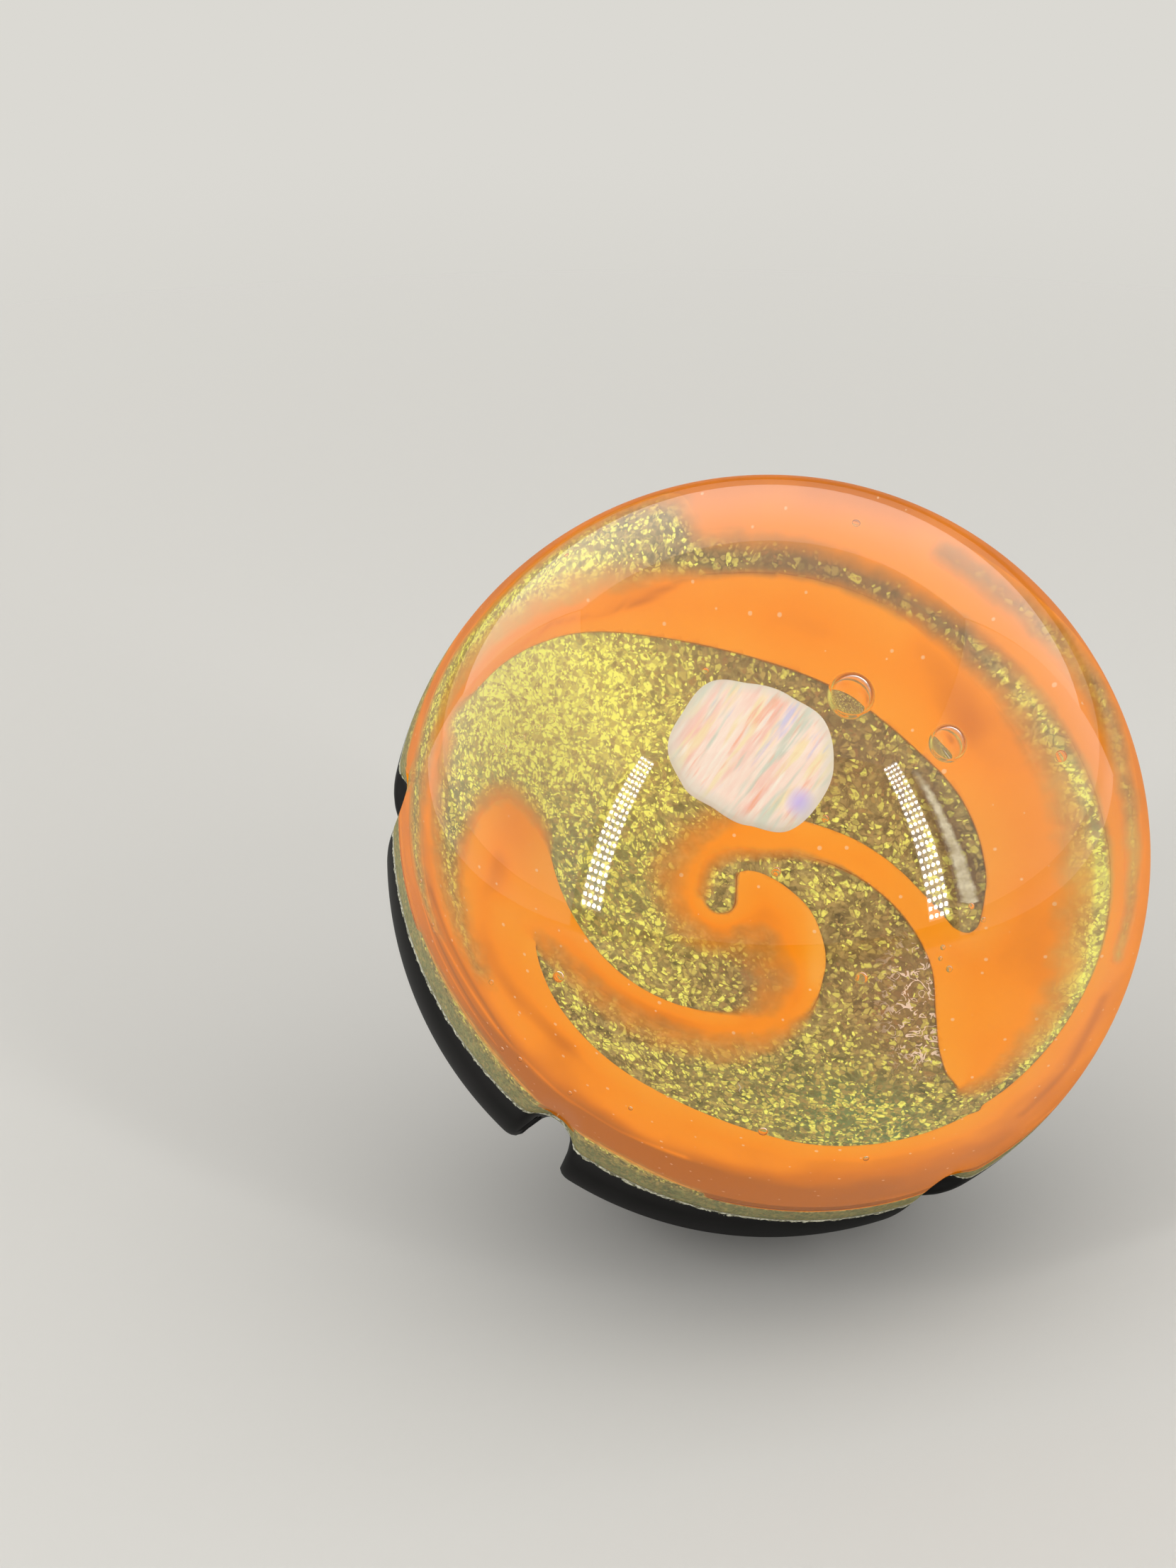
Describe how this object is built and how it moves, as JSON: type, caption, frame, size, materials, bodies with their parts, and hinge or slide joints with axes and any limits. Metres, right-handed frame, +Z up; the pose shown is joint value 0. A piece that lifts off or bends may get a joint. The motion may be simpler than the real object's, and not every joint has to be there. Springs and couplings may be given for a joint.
{
  "type": "glass marble",
  "caption": "Solid glass marble: a clear dome over an orange and glitter double swirl, a sealed opal chip, and a fluted black back.",
  "frame": {"origin": "middle of the ball", "axes": "+Z up as the marble sits in a ring stand; the window faces the front, -Y, and up, 43 degrees from +Z; +X to the right seen from the front"},
  "size_m": [0.038, 0.038, 0.038],
  "materials": {
    "clear_glass": "fire polished, clear, with a few air bubbles",
    "opal": "polished, streaked play of colour",
    "orange_glass": "smooth, opaque",
    "glitter_glass": "fine yellow-green metallic flakes",
    "black_glass": "fire polished, opaque"
  },
  "bodies": {
    "root": {"clear_dome": "clear_glass", "opal_chip": "opal", "orange_swirl": "orange_glass", "glitter_layer": "glitter_glass", "black_back": "black_glass"}
  },
  "joints": []
}
